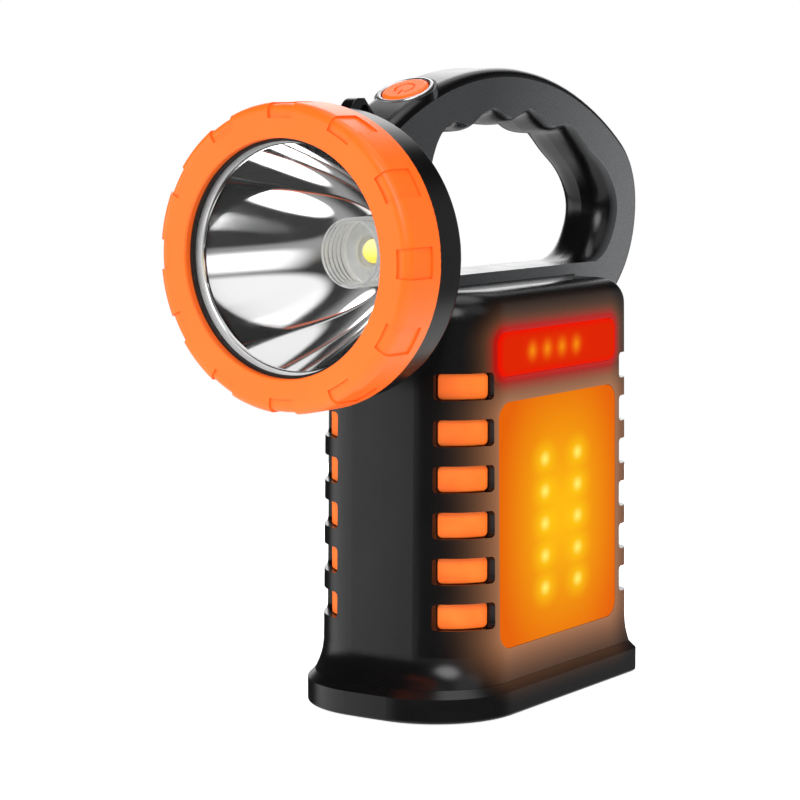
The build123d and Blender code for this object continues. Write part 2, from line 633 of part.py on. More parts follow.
front_insert = grip_insert(FRONT_CORNER, (-42.0, -27.9))
back_insert = grip_insert(BACK_CORNER, (42.4, 49.4))
save(front_insert, "grip_insert_front_right")
save(front_insert.mirror(Plane.YZ), "grip_insert_front_left")
save(back_insert, "grip_insert_back_right")
save(back_insert.mirror(Plane.YZ), "grip_insert_back_left")

# ================================================================ side lights
# ---- amber area light: diffuser in its window, board behind it, two columns of LEDs
def window_flange(y, z, corner):
    """The thin rim that holds a side light's cover behind the wall."""
    with BuildPart() as rim:
        extrude(window(y, z, corner, FLANGE_X, 1.2), amount=1.5)
        extrude(body_section(0, WALL), amount=CAVITY_TOP, mode=Mode.INTERSECT)
    return rim.part


with BuildPart() as amber_diffuser:
    extrude(window(AMBER_Y, AMBER_Z, AMBER_CORNER, FLANGE_X, -GAP), amount=8)
    add(column.part, mode=Mode.INTERSECT)
    add(window_flange(AMBER_Y, AMBER_Z, AMBER_CORNER))
    extrude(window(AMBER_Y, AMBER_Z, AMBER_CORNER, FLANGE_X - 0.1, -2.5), amount=2.3, mode=Mode.SUBTRACT)
save(amber_diffuser.part, "amber_diffuser")

with BuildPart() as amber_led_board:
    extrude(window(AMBER_Y, AMBER_Z, AMBER_CORNER, 24.4, 0.4), amount=1.6)
save(amber_led_board.part, "amber_led_board")

with BuildPart() as amber_leds:
    with Locations(*[(26.95, y, z) for y in AMBER_LEDS_Y for z in AMBER_LEDS_Z]):
        Box(1.9, 3.5, 2.8)
    fillet(amber_leds.edges().group_by(Axis.X)[-1], 0.4)
save(amber_leds.part, "amber_leds")

# ---- red warning light, standing slightly proud of the wall
with BuildPart() as red_lens:
    extrude(window(RED_Y, RED_Z, RED_CORNER, FLANGE_X, -GAP), amount=4.25)
    fillet(red_lens.edges().group_by(Axis.X)[-1], 0.4)
    add(window_flange(RED_Y, RED_Z, RED_CORNER))
    extrude(window(RED_Y, RED_Z, RED_CORNER, FLANGE_X - 0.1, -1.5), amount=2.3, mode=Mode.SUBTRACT)
save(red_lens.part, "red_lens")

with BuildPart() as red_led_board:
    extrude(window(RED_Y, RED_Z, 2.0, 24.4, -0.6), amount=1.6)
save(red_led_board.part, "red_led_board")

with BuildPart() as red_leds:
    with Locations(*[(26.9, y, (RED_Z[0] + RED_Z[1]) / 2) for y in RED_LEDS_Y]):
        Box(1.8, 3.4, 3.0)
    fillet(red_leds.edges().group_by(Axis.X)[-1], 0.4)
save(red_leds.part, "red_leds")

# ================================================================ power switch
with BuildPart() as button_ring:
    extrude(disc(BUTTON_SEAT.offset(0.4), 8.4), amount=1.5)
    extrude(disc(BUTTON_SEAT.offset(0.4), 7.2), amount=1.5, mode=Mode.SUBTRACT)
    press_axis = Axis(BUTTON_SEAT.origin, BUTTON_SEAT.z_dir)
    fillet(button_ring.edges().filter_by(GeomType.CIRCLE).group_by(press_axis)[-1], 0.5)
save(button_ring.part, "button_ring")

with BuildPart() as power_button:
    extrude(disc(BUTTON_SEAT.offset(-3.4), BUTTON_RADIUS), amount=5.6)
    fillet(power_button.edges().filter_by(GeomType.CIRCLE).group_by(press_axis)[-1], 1.2)
    extrude(disc(BUTTON_SEAT.offset(-2.05), 7.7), amount=1.0)
    extrude(disc(BUTTON_SEAT.offset(-4.0), 1.8), amount=0.7)
    # sunk sign: an open ring and a bar
    with BuildSketch(BUTTON_SEAT.offset(1.85)):
        Circle(3.2)
        Circle(2.5, mode=Mode.SUBTRACT)
        with Locations((0, -2.9)):
            Rectangle(2.6, 2.4, mode=Mode.SUBTRACT)
        with Locations((0, -2.6)):
            Rectangle(0.75, 2.8)
    extrude(amount=1, mode=Mode.SUBTRACT)
save(power_button.part, "power_button")

with BuildPart() as switch_plunger:
    extrude(disc(BUTTON_SEAT.offset(-6.0), 1.7), amount=2.0)
save(switch_plunger.part, "switch_plunger")

with BuildPart() as power_switch:
    with BuildSketch(BUTTON_SEAT.offset(-8.5)):
        RectangleRounded(6, 6, 0.5)
    extrude(amount=3.5)
    extrude(disc(BUTTON_SEAT.offset(-7.5), 1.8), amount=4, mode=Mode.SUBTRACT)
save(power_switch.part, "power_switch")

with BuildPart() as switch_board:
    with BuildSketch(BUTTON_SEAT.offset(-9.7)):
        with Locations((0, -2.5)):
            RectangleRounded(12.4, 13, 1.0)
    extrude(amount=1.2)
save(switch_board.part, "switch_board")

# ================================================================ base
with BuildPart() as base_cover:
    extrude(base_section(BASE_BOTTOM), amount=BASE_TOP - BASE_BOTTOM)
    chamfer(base_cover.edges().group_by(Axis.Z)[-1], BASE_BEVEL, BASE_BEVEL)
    fillet(base_cover.edges().group_by(Axis.Z)[0], 0.8)
    extrude(base_section(3.3, 3.0), amount=10, mode=Mode.SUBTRACT)
    # ledge under the shells and upstand inside them
    extrude(base_section(BASE_TOP - 2.4, 2.6), amount=2.4)
    extrude(body_section(BASE_TOP - 1, WALL + GAP), amount=2.4)
    extrude(body_section(3.3, WALL + GAP + 1.6), amount=12, mode=Mode.SUBTRACT)
    extrude(discs(Plane.XY.offset(BASE_TOP), BASE_BOSSES, BASE_BOSS_RADIUS + 0.3), amount=3, mode=Mode.SUBTRACT)
    extrude(discs(Plane.YZ.offset(-30), BODY_BOSSES, BODY_BOSS_RADIUS + 0.3), amount=60, mode=Mode.SUBTRACT)
    extrude(discs(Plane.XY.offset(3.3), BASE_BOSSES, BASE_BOSS_RADIUS), amount=BASE_TOP - 3.3)
    # screw holes and the recess of the foot pad
    extrude(discs(Plane.XY, BASE_BOSSES, 1.6), amount=12, mode=Mode.SUBTRACT)
    extrude(discs(Plane.XY, BASE_BOSSES, 3.0), amount=5.0, mode=Mode.SUBTRACT)
    extrude(base_section(0, 3.5), amount=1.5, mode=Mode.SUBTRACT)
save(base_cover.part, "base_cover")

with BuildPart() as base_pad:
    extrude(base_section(0, 3.65), amount=1.5)
    fillet(base_pad.edges().group_by(Axis.Z)[0], 0.3)
    for x in range(-20, 21, 10):
        with Locations((x, 0, 0)):
            Box(1.6, 76, 1.0, mode=Mode.SUBTRACT)
save(base_pad.part, "base_pad")

# ================================================================ fasteners
def screws(plane, places, shank, length, head, head_height):
    """Equal pan-head screws whose heads sit on the plane, with a cross recess in each head."""
    with BuildPart() as group:
        extrude(discs(plane, places, head), amount=head_height)
        rims = group.edges().filter_by(GeomType.CIRCLE)
        fillet(rims.filter_by(lambda e: plane.to_local_coords(e.center()).Z > 0.1), head_height * 0.4)
        extrude(discs(plane, places, shank), amount=-length)
        with BuildSketch(plane.offset(head_height - 0.9)):
            with Locations(*places):
                Rectangle(head * 1.2, head * 0.28)
                Rectangle(head * 0.28, head * 1.2)
        extrude(amount=2, mode=Mode.SUBTRACT)
    return group.part


# planes that face out of each screw's head: sideways to the left, forwards, and down
LEFTWARDS = Plane(origin=(0, 0, 0), x_dir=(0, 1, 0), z_dir=(-1, 0, 0))
DOWNWARDS = Plane(origin=(0, 0, 0), x_dir=(1, 0, 0), z_dir=(0, 0, -1))

on_left = [(y, -z) for y, z in BODY_BOSSES]
on_handle = [(y, -z) for y, z in HANDLE_BOSSES]
under_base = [(x, -y) for x, y in BASE_BOSSES]
save(screws(LEFTWARDS.offset(24), on_left, SCREW_SHANK, 34, SCREW_HEAD, 1.9), "shell_screws")
save(screws(LEFTWARDS.offset(6), on_handle, HANDLE_SHANK, 12.5, 2.1, 1.6), "handle_screws")
save(screws(Plane.XZ.offset(-HOUSING_BACK + 2.2), HEAD_BOSSES, SCREW_SHANK, 8, SCREW_HEAD, 1.9), "head_screws")
save(screws(DOWNWARDS.offset(-5), under_base, SCREW_SHANK, 10.5, SCREW_HEAD, 1.9), "base_screws")

# ================================================================ battery, electronics and charging
with BuildPart() as battery_cells:
    with Locations(*[(BATTERY_X, y, BATTERY_LOW + BATTERY_LENGTH / 2) for y in BATTERY_Y]):
        Cylinder(BATTERY_RADIUS, BATTERY_LENGTH)
    fillet(battery_cells.edges().filter_by(GeomType.CIRCLE), 0.6)
    with Locations(*[(BATTERY_X, y, BATTERY_LOW + BATTERY_LENGTH + 0.4) for y in BATTERY_Y]):
        Cylinder(2.9, 0.8)
save(battery_cells.part, "battery_cells")

# an open frame: a plate under and over the cells, joined by a wall against the left shell
with BuildPart() as battery_holder:
    with Locations((-11.75, 0, 20.25), (-11.75, 0, 93.25)):
        Box(31.5, 46, 2.5)
    with Locations((-26.5, 0, 56.75)):
        Box(2.0, 46, 75.5)
    holes = [(BATTERY_X, y) for y in BATTERY_Y]
    extrude(discs(Plane.XY.offset(15), holes, 3.4), amount=90, mode=Mode.SUBTRACT)
save(battery_holder.part, "battery_holder")

# coil springs below the cells and flat tabs above them
with BuildPart() as battery_springs:
    for y in BATTERY_Y:
        with BuildLine():
            coil = Helix(pitch=1.35, height=2.0, radius=4.6, center=(BATTERY_X, y, 21.75))
        with BuildSketch(Plane(origin=coil @ 0, z_dir=coil % 0)):
            Circle(0.25)
        sweep(path=coil)
save(battery_springs.part, "battery_springs")

with BuildPart() as battery_tabs:
    with Locations(*[(BATTERY_X, y, 90.1) for y in BATTERY_Y]):
        Box(8, 8, 0.6)
    with Locations((BATTERY_X + 3.0, 0, 90.1)):
        Box(2, 20, 0.6)
    with Locations((BATTERY_X + 3.0, 0, 91.05)):
        Box(2, 3, 1.9)
save(battery_tabs.part, "battery_tabs")

with BuildPart() as main_circuit_board:
    with BuildSketch(Plane.YZ.offset(4.0)):
        with Locations((12.2, 58)):
            RectangleRounded(64.5, 68, 2.0)
    extrude(amount=1.6)
save(main_circuit_board.part, "main_circuit_board")

# the driver's coil can, two capacitors, the controller and the power devices
with BuildPart() as board_components:
    with Locations((9.6, -4, 78)):
        Box(8, 12, 12)
    fillet(board_components.edges().filter_by(Axis.X), 2.0)
    for y, z, depth, width, height in (
        (14, 80, 1.6, 9, 9), (30, 78, 2.4, 10, 7), (30, 66, 2.4, 10, 7), (0, 58, 1.2, 6, 5), (12, 60, 1.2, 6, 5),
    ):
        with Locations((5.6 + depth / 2, y, z)):
            Box(depth, width, height)
    with Locations(*[Location((5.6, y, z), (0, 90, 0)) for y, z in ((-10, 44), (2, 44))]):
        Cylinder(4.0, 10, align=(Align.CENTER, Align.CENTER, Align.MIN))
save(board_components.part, "board_components")

with BuildPart() as charging_socket:
    extrude(port_outline(SOCKET_FACE, 7.6, 8.8, 1.0), amount=10.5)
    with BuildSketch(Plane.XZ.offset(-SOCKET_FACE)):
        with Locations((PORT_X + 0.6, PORT_Z)):
            Circle(2.9)
    extrude(amount=8.5, mode=Mode.SUBTRACT)
    with BuildSketch(Plane.XZ.offset(-SOCKET_FACE + 2)):
        with Locations((PORT_X + 0.6, PORT_Z)):
            Circle(0.8)
    extrude(amount=7)
save(charging_socket.part, "charging_socket")

# flap: a soft cover that swings up round a pin along its top edge
with BuildPart() as charging_flap:
    extrude(port_outline(BODY_BACK + 0.55, 10.9, 14.1, 2.25), amount=1.8)
    fillet(charging_flap.edges().group_by(Axis.Y)[-1], 0.5)
    with Locations((PORT_X, BODY_BACK, FLAP_PIN[1] + 2)):
        Box(12, 6, 4, mode=Mode.SUBTRACT)
    extrude(discs(Plane.YZ.offset(PORT_X - 4), [FLAP_PIN], 1.3), amount=8)
    extrude(discs(Plane.YZ.offset(PORT_X - 6), [FLAP_PIN], FLAP_PIN_RADIUS + 0.08), amount=12, mode=Mode.SUBTRACT)
    # finger lip along the lower edge
    with Locations((PORT_X, BODY_BACK + 1.0, PORT_Z - 5.9)):
        Box(5.0, 1.2, 1.0)
save(charging_flap.part, "charging_flap")

with BuildPart() as flap_pin:
    extrude(discs(Plane.YZ.offset(PORT_X - 6.5), [FLAP_PIN], FLAP_PIN_RADIUS), amount=13)
save(flap_pin.part, "flap_pin")

# a pair of wires from the switch board down the handle's neck to the main board
with BuildPart() as switch_wires:
    for x in WIRES_X:
        route = [
            (x, -34.26, 167.34), (x, -41.5, 164.05), (x, -42.2, 154.0), (x, -36.8, 145.5),
            (x, -36.8, 122.0), (x, -33.4, 108.0), (x, -13.0, 102.0), (x, -13.0, 92.0),
        ]
        with BuildLine() as path:
            FilletPolyline(*route, radius=3.0)
        with BuildSketch(Plane(origin=path.line @ 0, z_dir=path.line % 0)):
            Circle(WIRE_RADIUS)
        sweep(path=path.line)
save(switch_wires.part, "switch_wires")
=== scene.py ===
import math

import bmesh
import bpy
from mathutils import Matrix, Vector


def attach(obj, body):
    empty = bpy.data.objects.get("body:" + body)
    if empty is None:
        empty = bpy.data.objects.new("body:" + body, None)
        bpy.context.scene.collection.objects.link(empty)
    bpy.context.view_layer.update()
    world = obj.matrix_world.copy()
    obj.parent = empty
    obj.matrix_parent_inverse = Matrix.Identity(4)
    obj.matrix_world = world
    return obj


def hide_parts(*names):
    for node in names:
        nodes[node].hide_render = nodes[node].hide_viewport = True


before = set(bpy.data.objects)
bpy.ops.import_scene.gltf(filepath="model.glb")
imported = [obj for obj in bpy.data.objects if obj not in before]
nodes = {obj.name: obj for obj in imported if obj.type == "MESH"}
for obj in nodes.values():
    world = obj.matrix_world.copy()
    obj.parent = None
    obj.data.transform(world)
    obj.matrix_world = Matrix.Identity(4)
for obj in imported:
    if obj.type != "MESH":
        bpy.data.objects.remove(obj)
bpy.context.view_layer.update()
scene = bpy.context.scene
scene.view_settings.view_transform = "Standard"

MM = 0.001
HEAD_Z = 135.2 * MM           # height of the lamp's axis


# ---------------------------------------------------------------- material helpers
class Shader:
    """A node material that is built up step by step round one Principled shader."""

    def __init__(self, name, color, roughness, **sockets):
        self.material = bpy.data.materials.new(name)
        self.material.use_nodes = True
        self.tree = self.material.node_tree
        self.bsdf = self.tree.nodes["Principled BSDF"]
        self.bsdf.inputs["Base Color"].default_value = (*color, 1)
        self.bsdf.inputs["Roughness"].default_value = roughness
        for socket, value in sockets.items():
            self.bsdf.inputs[socket.replace("_", " ")].default_value = value
        self.place = self.node("ShaderNodeTexCoord").outputs["Object"]

    def node(self, kind, **settings):
        made = self.tree.nodes.new(kind)
        for key, value in settings.items():
            setattr(made, key, value)
        return made

    def link(self, source, target):
        self.tree.links.new(source, target)

    def feed(self, target, value):
        """Links a socket or sets a number."""
        if isinstance(value, (int, float)):
            target.default_value = value
        else:
            self.link(value, target)

    def math(self, operation, *values):
        made = self.node("ShaderNodeMath", operation=operation)
        for socket, value in zip(made.inputs, values):
            self.feed(socket, value)
        return made.outputs[0]

    def xyz(self):
        made = self.node("ShaderNodeSeparateXYZ")
        self.link(self.place, made.inputs[0])
        return made.outputs

    def noise(self, size, detail=2.0, roughness=0.5):
        """Noise whose features are about size metres across."""
        made = self.node("ShaderNodeTexNoise")
        made.inputs["Scale"].default_value = 1 / size
        made.inputs["Detail"].default_value = detail
        made.inputs["Roughness"].default_value = roughness
        self.link(self.place, made.inputs["Vector"])
        return made.outputs["Fac"]

    def ramp(self, value, low, high, to_low, to_high):
        made = self.node("ShaderNodeMapRange")
        self.feed(made.inputs["Value"], value)
        for socket, number in zip(made.inputs[1:5], (low, high, to_low, to_high)):
            self.feed(socket, number)
        return made.outputs[0]

    def blend(self, factor, first, second):
        """A colour between two colours."""
        made = self.node("ShaderNodeMix", data_type="RGBA")
        self.feed(made.inputs[0], factor)
        for socket, value in ((made.inputs[6], first), (made.inputs[7], second)):
            if isinstance(value, tuple):
                socket.default_value = (*value, 1)
            else:
                self.link(value, socket)
        return made.outputs[2]

    def bump(self, height, strength, distance):
        made = self.node("ShaderNodeBump")
        made.inputs["Strength"].default_value = strength
        made.inputs["Distance"].default_value = distance
        self.feed(made.inputs["Height"], height)
        self.link(made.outputs[0], self.bsdf.inputs["Normal"])

    def set(self, socket, value):
        self.feed(self.bsdf.inputs[socket], value)


def srgb(red, green, blue):
    """Linear colour from 0-255 display values."""
    def linear(value):
        value = value / 255
        return value / 12.92 if value <= 0.04045 else ((value + 0.055) / 1.055) ** 2.4
    return (linear(red), linear(green), linear(blue))


def give(material, *names):
    """Puts a material on CAD nodes."""
    for name in names:
        slots = nodes[name].material_slots
        if not slots:
            nodes[name].data.materials.append(material)
        for slot in slots:
            slot.material = material


# ---------------------------------------------------------------- shared places, in millimetres
AMBER_WINDOW = (-26.2, 40.5, 19.5, 91.5)     # y and z limits of the two side lights
RED_WINDOW = (-26.5, 39.8, 98.8, 111.8)
AMBER_COLUMNS = (-1.3, 17.6)
AMBER_ROW = 53.5                             # middle row of the five
AMBER_PITCH = 9.63
RED_LEDS = (-9.0, -0.6, 7.8, 16.2)           # y of the four
RED_ROW = 105.4                              # and their z
HAND_MIDDLE = (22.0, 148.0)                  # inside the hand hole, y and z
CHEEK_SIDE = (9.3, 9.7)                      # the handle's flat cheeks stand this far from the middle
CHEEK_FRONT = -52.0                          # and start behind the lamp's housing
STRIP_FOOT = 123.75                          # lowest z of the strip under the hand
HANDLE_FOOT = 50.5                           # behind this y, the handle's foot is below the strip
WINDOW_CORNERS = {"amber": 5.0, "red": 3.5}  # corner radii of the two side lights
PHOSPHOR = (133.2, 137.2)                    # z limits of the LED chip's face


def window_distance(s, window, corner):
    """Distance in millimetres from a side light's rounded window, 0 inside it."""
    low_y, high_y, low_z, high_z = window
    _, y, z = s.xyz()
    away = []
    for socket, low, high in ((y, low_y, high_y), (z, low_z, high_z)):
        middle = (low + high) / 2 * MM
        half = ((high - low) / 2 - corner) * MM
        offset = s.math("ABSOLUTE", s.math("SUBTRACT", socket, middle))
        away.append(s.math("MAXIMUM", s.math("SUBTRACT", offset, half), 0.0))
    straight = s.math("SQRT", s.math("ADD", s.math("MULTIPLY", away[0], away[0]),
                                     s.math("MULTIPLY", away[1], away[1])))
    return s.math("SUBTRACT", s.math("MULTIPLY", straight, 1 / MM), float(corner))


def spot(s, y, z, centre_y, centre_z, radius):
    """A soft round spot: 1 in its middle, falling to 0 at the radius, all in millimetres."""
    dy = s.math("SUBTRACT", y, centre_y * MM)
    dz = s.math("SUBTRACT", z, centre_z * MM)
    away = s.math("SQRT", s.math("ADD", s.math("MULTIPLY", dy, dy), s.math("MULTIPLY", dz, dz)))
    near = s.math("SUBTRACT", 1.0, s.math("MINIMUM", s.math("DIVIDE", away, radius * MM), 1.0))
    return s.math("MULTIPLY", near, near)


# ---------------------------------------------------------------- materials
BLACK = srgb(9, 9, 10)


def moulded_black():
    """Black ABS: satin walls, matt grained cheeks on the handle with painted light and shade across them, a
    painted highlight on the hand hole's rim, and the side lights' glow painted on it as emission.
    """
    s = Shader("black_moulding", BLACK, 0.3, IOR=1.43)
    x, y, z = s.xyz()
    side = s.math("ABSOLUTE", x)

    normal = s.node("ShaderNodeSeparateXYZ")
    s.link(s.node("ShaderNodeNewGeometry").outputs["Normal"], normal.inputs[0])

    # flat cheeks of the handle and of the strip under the hand: they face sideways
    on_handle = s.math("MAXIMUM", s.math("GREATER_THAN", z, STRIP_FOOT * MM),
                       s.math("GREATER_THAN", y, HANDLE_FOOT * MM))
    cheek = s.math("MULTIPLY", s.math("GREATER_THAN", side, CHEEK_SIDE[0] * MM),
                   s.math("LESS_THAN", side, CHEEK_SIDE[1] * MM))
    cheek = s.math("MULTIPLY", s.math("MULTIPLY", cheek, on_handle),
                   s.math("GREATER_THAN", y, CHEEK_FRONT * MM))
    cheek = s.math("MULTIPLY", cheek, s.math("GREATER_THAN", s.math("ABSOLUTE", normal.outputs[0]), 0.7))

    # rim of the hand hole: surfaces that face the middle of the hole, close to the cheeks; they get a painted
    # highlight in light grey
    inward = s.math("ADD",
                    s.math("MULTIPLY", normal.outputs[1], s.math("SUBTRACT", y, HAND_MIDDLE[0] * MM)),
                    s.math("MULTIPLY", normal.outputs[2], s.math("SUBTRACT", z, HAND_MIDDLE[1] * MM)))
    rim = s.math("MULTIPLY", s.math("LESS_THAN", inward, 0.0), s.ramp(side, 8.0 * MM, 9.2 * MM, 0.0, 1.0))
    rim = s.math("MULTIPLY", rim, s.math("MULTIPLY", on_handle, s.math("LESS_THAN", side, 9.6 * MM)))

    grain = s.noise(0.45 * MM, 3, 0.7)
    speckle = s.ramp(grain, 0.35, 0.65, 0.0, 1.0)
    # painted light and shade on the cheeks: lighter towards the back and the bottom, darker towards the front
    # and the top
    lit = s.ramp(s.math("SUBTRACT", y, s.math("MULTIPLY", z, 0.5)), -90 * MM, 10 * MM, 0.0, 1.0)
    painted_shade_grain = s.blend(speckle, srgb(42, 43, 44), srgb(62, 63, 65))
    matt = s.blend(lit, painted_shade_grain, s.blend(speckle, srgb(78, 79, 81), srgb(112, 113, 115)))
    # painted highlight on the rim of the hand hole
    colour = s.blend(s.math("MULTIPLY", rim, 0.55), BLACK, srgb(80, 82, 84))
    colour = s.blend(cheek, colour, matt)
    s.set("Base Color", colour)
    broad = s.noise(14 * MM, 2)
    satin = s.ramp(broad, 0.3, 0.7, 0.22, 0.28)
    s.set("Roughness", s.math("ADD", satin, s.math("MULTIPLY", cheek, 0.3)))
    s.bump(grain, 0.12, 0.03 * MM)

    # painted light: emission standing in for the light that the two side lights throw along the wall, on what
    # faces their side
    right = s.math("MULTIPLY", s.ramp(x, 8 * MM, 26 * MM, 0.0, 1.0),
                   s.ramp(normal.outputs[0], 0.05, 0.6, 0.0, 1.0))
    from_amber = window_distance(s, AMBER_WINDOW, WINDOW_CORNERS["amber"])
    from_red = window_distance(s, RED_WINDOW, WINDOW_CORNERS["red"])
    amber = s.math("MAXIMUM", s.ramp(from_amber, 0.0, 17.0, 1.0, 0.0), s.ramp(from_red, 0.0, 11.0, 0.8, 0.0))
    amber = s.math("MULTIPLY", s.math("POWER", amber, 2.0), right)
    red = s.math("MULTIPLY", s.math("POWER", s.ramp(from_red, 0.0, 6.0, 1.0, 0.0), 2.0), right)
    painted_glow_redness = s.math("MINIMUM", s.math("MULTIPLY", red, 1.6), 1.0)
    # painted glow colour: brown near the amber light, red near the red light
    glow = s.blend(painted_glow_redness, srgb(152, 102, 70), srgb(224, 20, 4))
    s.set("Emission Color", glow)
    s.set("Emission Strength",
          s.math("MAXIMUM", s.math("MULTIPLY", amber, 1.15), s.math("MULTIPLY", red, 0.7)))
    return s.material


def moulded_orange():
    """Satin orange ABS: bezel and button."""
    s = Shader("orange_moulding", srgb(255, 106, 30), 0.34, IOR=1.38)
    broad = s.noise(20 * MM, 2)
    s.set("Roughness", s.ramp(broad, 0.3, 0.7, 0.3, 0.4))
    patches = s.ramp(s.noise(30 * MM, 2), 0.3, 0.7, 0.0, 1.0)
    s.set("Base Color", s.blend(patches, srgb(255, 104, 28), srgb(255, 110, 34)))
    s.bump(s.noise(0.6 * MM, 2), 0.1, 0.02 * MM)
    return s.material


def grip_orange():
    """Soft orange grips: matter than the bezel, with a slight unevenness of colour."""
    s = Shader("orange_grip", srgb(255, 104, 28), 0.5, IOR=1.4)
    patches = s.ramp(s.noise(9 * MM, 2), 0.3, 0.7, 0.0, 1.0)
    s.set("Base Color", s.blend(patches, srgb(252, 106, 20), srgb(255, 120, 32)))
    s.bump(s.noise(0.5 * MM, 2), 0.15, 0.03 * MM)
    return s.material


def clear_lens():
    """Thin clear front lens: see-through, with a faint reflection."""
    s = Shader("clear_lens", (1, 1, 1), 0.0)
    see_through = s.node("ShaderNodeBsdfTransparent")
    gloss = s.node("ShaderNodeBsdfGlossy")
    s.feed(gloss.inputs["Roughness"], s.ramp(s.noise(12 * MM, 2), 0.3, 0.7, 0.005, 0.03))
    edge = s.node("ShaderNodeFresnel")
    edge.inputs["IOR"].default_value = 1.2
    mixed = s.node("ShaderNodeMixShader")
    s.link(edge.outputs[0], mixed.inputs[0])
    s.link(see_through.outputs[0], mixed.inputs[1])
    s.link(gloss.outputs[0], mixed.inputs[2])
    s.link(mixed.outputs[0], s.tree.nodes["Material Output"].inputs["Surface"])
    return s.material


def collar_clear():
    """Clear moulded collar: mostly see-through, with bright ribs and a pale body that a faint painted glow
    brightens.
    """
    s = Shader("collar_plastic", (0.86, 0.87, 0.87), 0.08, IOR=1.49)
    # painted glow: a faint white emission that lightens the clear collar
    s.set("Emission Strength", 0.1)
    see_through = s.node("ShaderNodeBsdfTransparent")
    edge = s.node("ShaderNodeFresnel")
    edge.inputs["IOR"].default_value = 1.7
    haze = s.ramp(s.noise(4 * MM, 3), 0.3, 0.7, 0.02, 0.12)
    clarity = s.math("MINIMUM", s.math("ADD", s.math("MULTIPLY", edge.outputs[0], 1.2), haze), 1.0)
    mixed = s.node("ShaderNodeMixShader")
    s.feed(mixed.inputs[0], clarity)
    s.link(see_through.outputs[0], mixed.inputs[1])
    s.link(s.bsdf.outputs[0], mixed.inputs[2])
    s.link(mixed.outputs[0], s.tree.nodes["Material Output"].inputs["Surface"])
    return s.material


def metallic(name, colour, roughness):
    s = Shader(name, colour, roughness, Metallic=1.0)
    s.set("Roughness", s.ramp(s.noise(3 * MM, 3), 0.3, 0.7, roughness * 0.8, roughness * 1.3))
    return s.material


def mirror():
    """The reflector's coating; the flange in front of it is left as pale plastic."""
    s = Shader("mirror_coating", (0.95, 0.95, 0.95), 0.03, Metallic=1.0)
    s.set("Roughness", s.ramp(s.noise(8 * MM, 2), 0.3, 0.7, 0.02, 0.06))
    _, y, _ = s.xyz()
    s.set("Metallic", s.ramp(y, -85.3 * MM, -85.0 * MM, 0.0, 1.0))
    return s.material


def plain(name, colour, roughness, **sockets):
    s = Shader(name, colour, roughness, **sockets)
    s.set("Roughness", s.ramp(s.noise(2 * MM, 2), 0.3, 0.7, roughness * 0.85, roughness * 1.15))
    s.bump(s.noise(0.5 * MM, 2), 0.15, 0.03 * MM)
    return s.material


def lit_phosphor():
    s = Shader("led_phosphor", srgb(240, 205, 40), 0.3)
    _, _, z = s.xyz()
    upwards = s.ramp(z, PHOSPHOR[0] * MM, PHOSPHOR[1] * MM, 0.0, 1.0)
    s.set("Emission Color", s.blend(upwards, srgb(236, 222, 90), srgb(255, 250, 190)))
    s.set("Emission Strength", 0.8)
    return s.material


def amber_glow():
    """The lit diffuser: two columns of LEDs shine through amber plastic."""
    s = Shader("amber_lens", (0.02, 0.004, 0.0), 0.5, IOR=1.12)
    _, y, z = s.xyz()
    across = s.math("MULTIPLY", s.math("ABSOLUTE", s.math("SUBTRACT", y, 8.2 * MM)), 1 / (36 * MM))
    along = s.math("MULTIPLY", s.math("ABSOLUTE", s.math("SUBTRACT", z, 55.5 * MM)), 1 / (46 * MM))
    spread = s.math("POWER", s.math("ADD", s.math("POWER", across, 2.6), s.math("POWER", along, 2.6)), 1 / 2.6)
    middle = s.math("POWER", s.ramp(spread, 0.1, 1.0, 1.0, 0.0), 1.15)
    colour = s.blend(middle, srgb(228, 98, 0), srgb(252, 184, 10))
    row = s.math("DIVIDE", s.math("SUBTRACT", z, AMBER_ROW * MM), AMBER_PITCH * MM)
    row = s.math("MINIMUM", s.math("MAXIMUM", s.math("ROUND", row), -2.0), 2.0)
    row_z = s.math("ADD", s.math("MULTIPLY", row, AMBER_PITCH * MM), AMBER_ROW * MM)
    dz = s.math("SUBTRACT", z, row_z)
    halo = 0.0
    core = 0.0
    for column in AMBER_COLUMNS:
        dy = s.math("MULTIPLY", s.math("SUBTRACT", y, column * MM), 0.8)
        away = s.math("SQRT", s.math("ADD", s.math("MULTIPLY", dy, dy), s.math("MULTIPLY", dz, dz)))
        near = s.ramp(away, 0.0, 7.2 * MM, 1.0, 0.0)
        halo = s.math("MAXIMUM", halo, s.math("POWER", near, 1.5))
        core = s.math("MAXIMUM", core, s.math("POWER", s.ramp(away, 0.0, 2.7 * MM, 1.0, 0.0), 1.3))
    colour = s.blend(s.math("MULTIPLY", halo, 0.85), colour, srgb(255, 214, 14))
    colour = s.blend(s.math("MULTIPLY", core, 0.9), colour, srgb(255, 246, 120))
    s.set("Emission Color", colour)
    s.set("Emission Strength", 1.0)
    return s.material


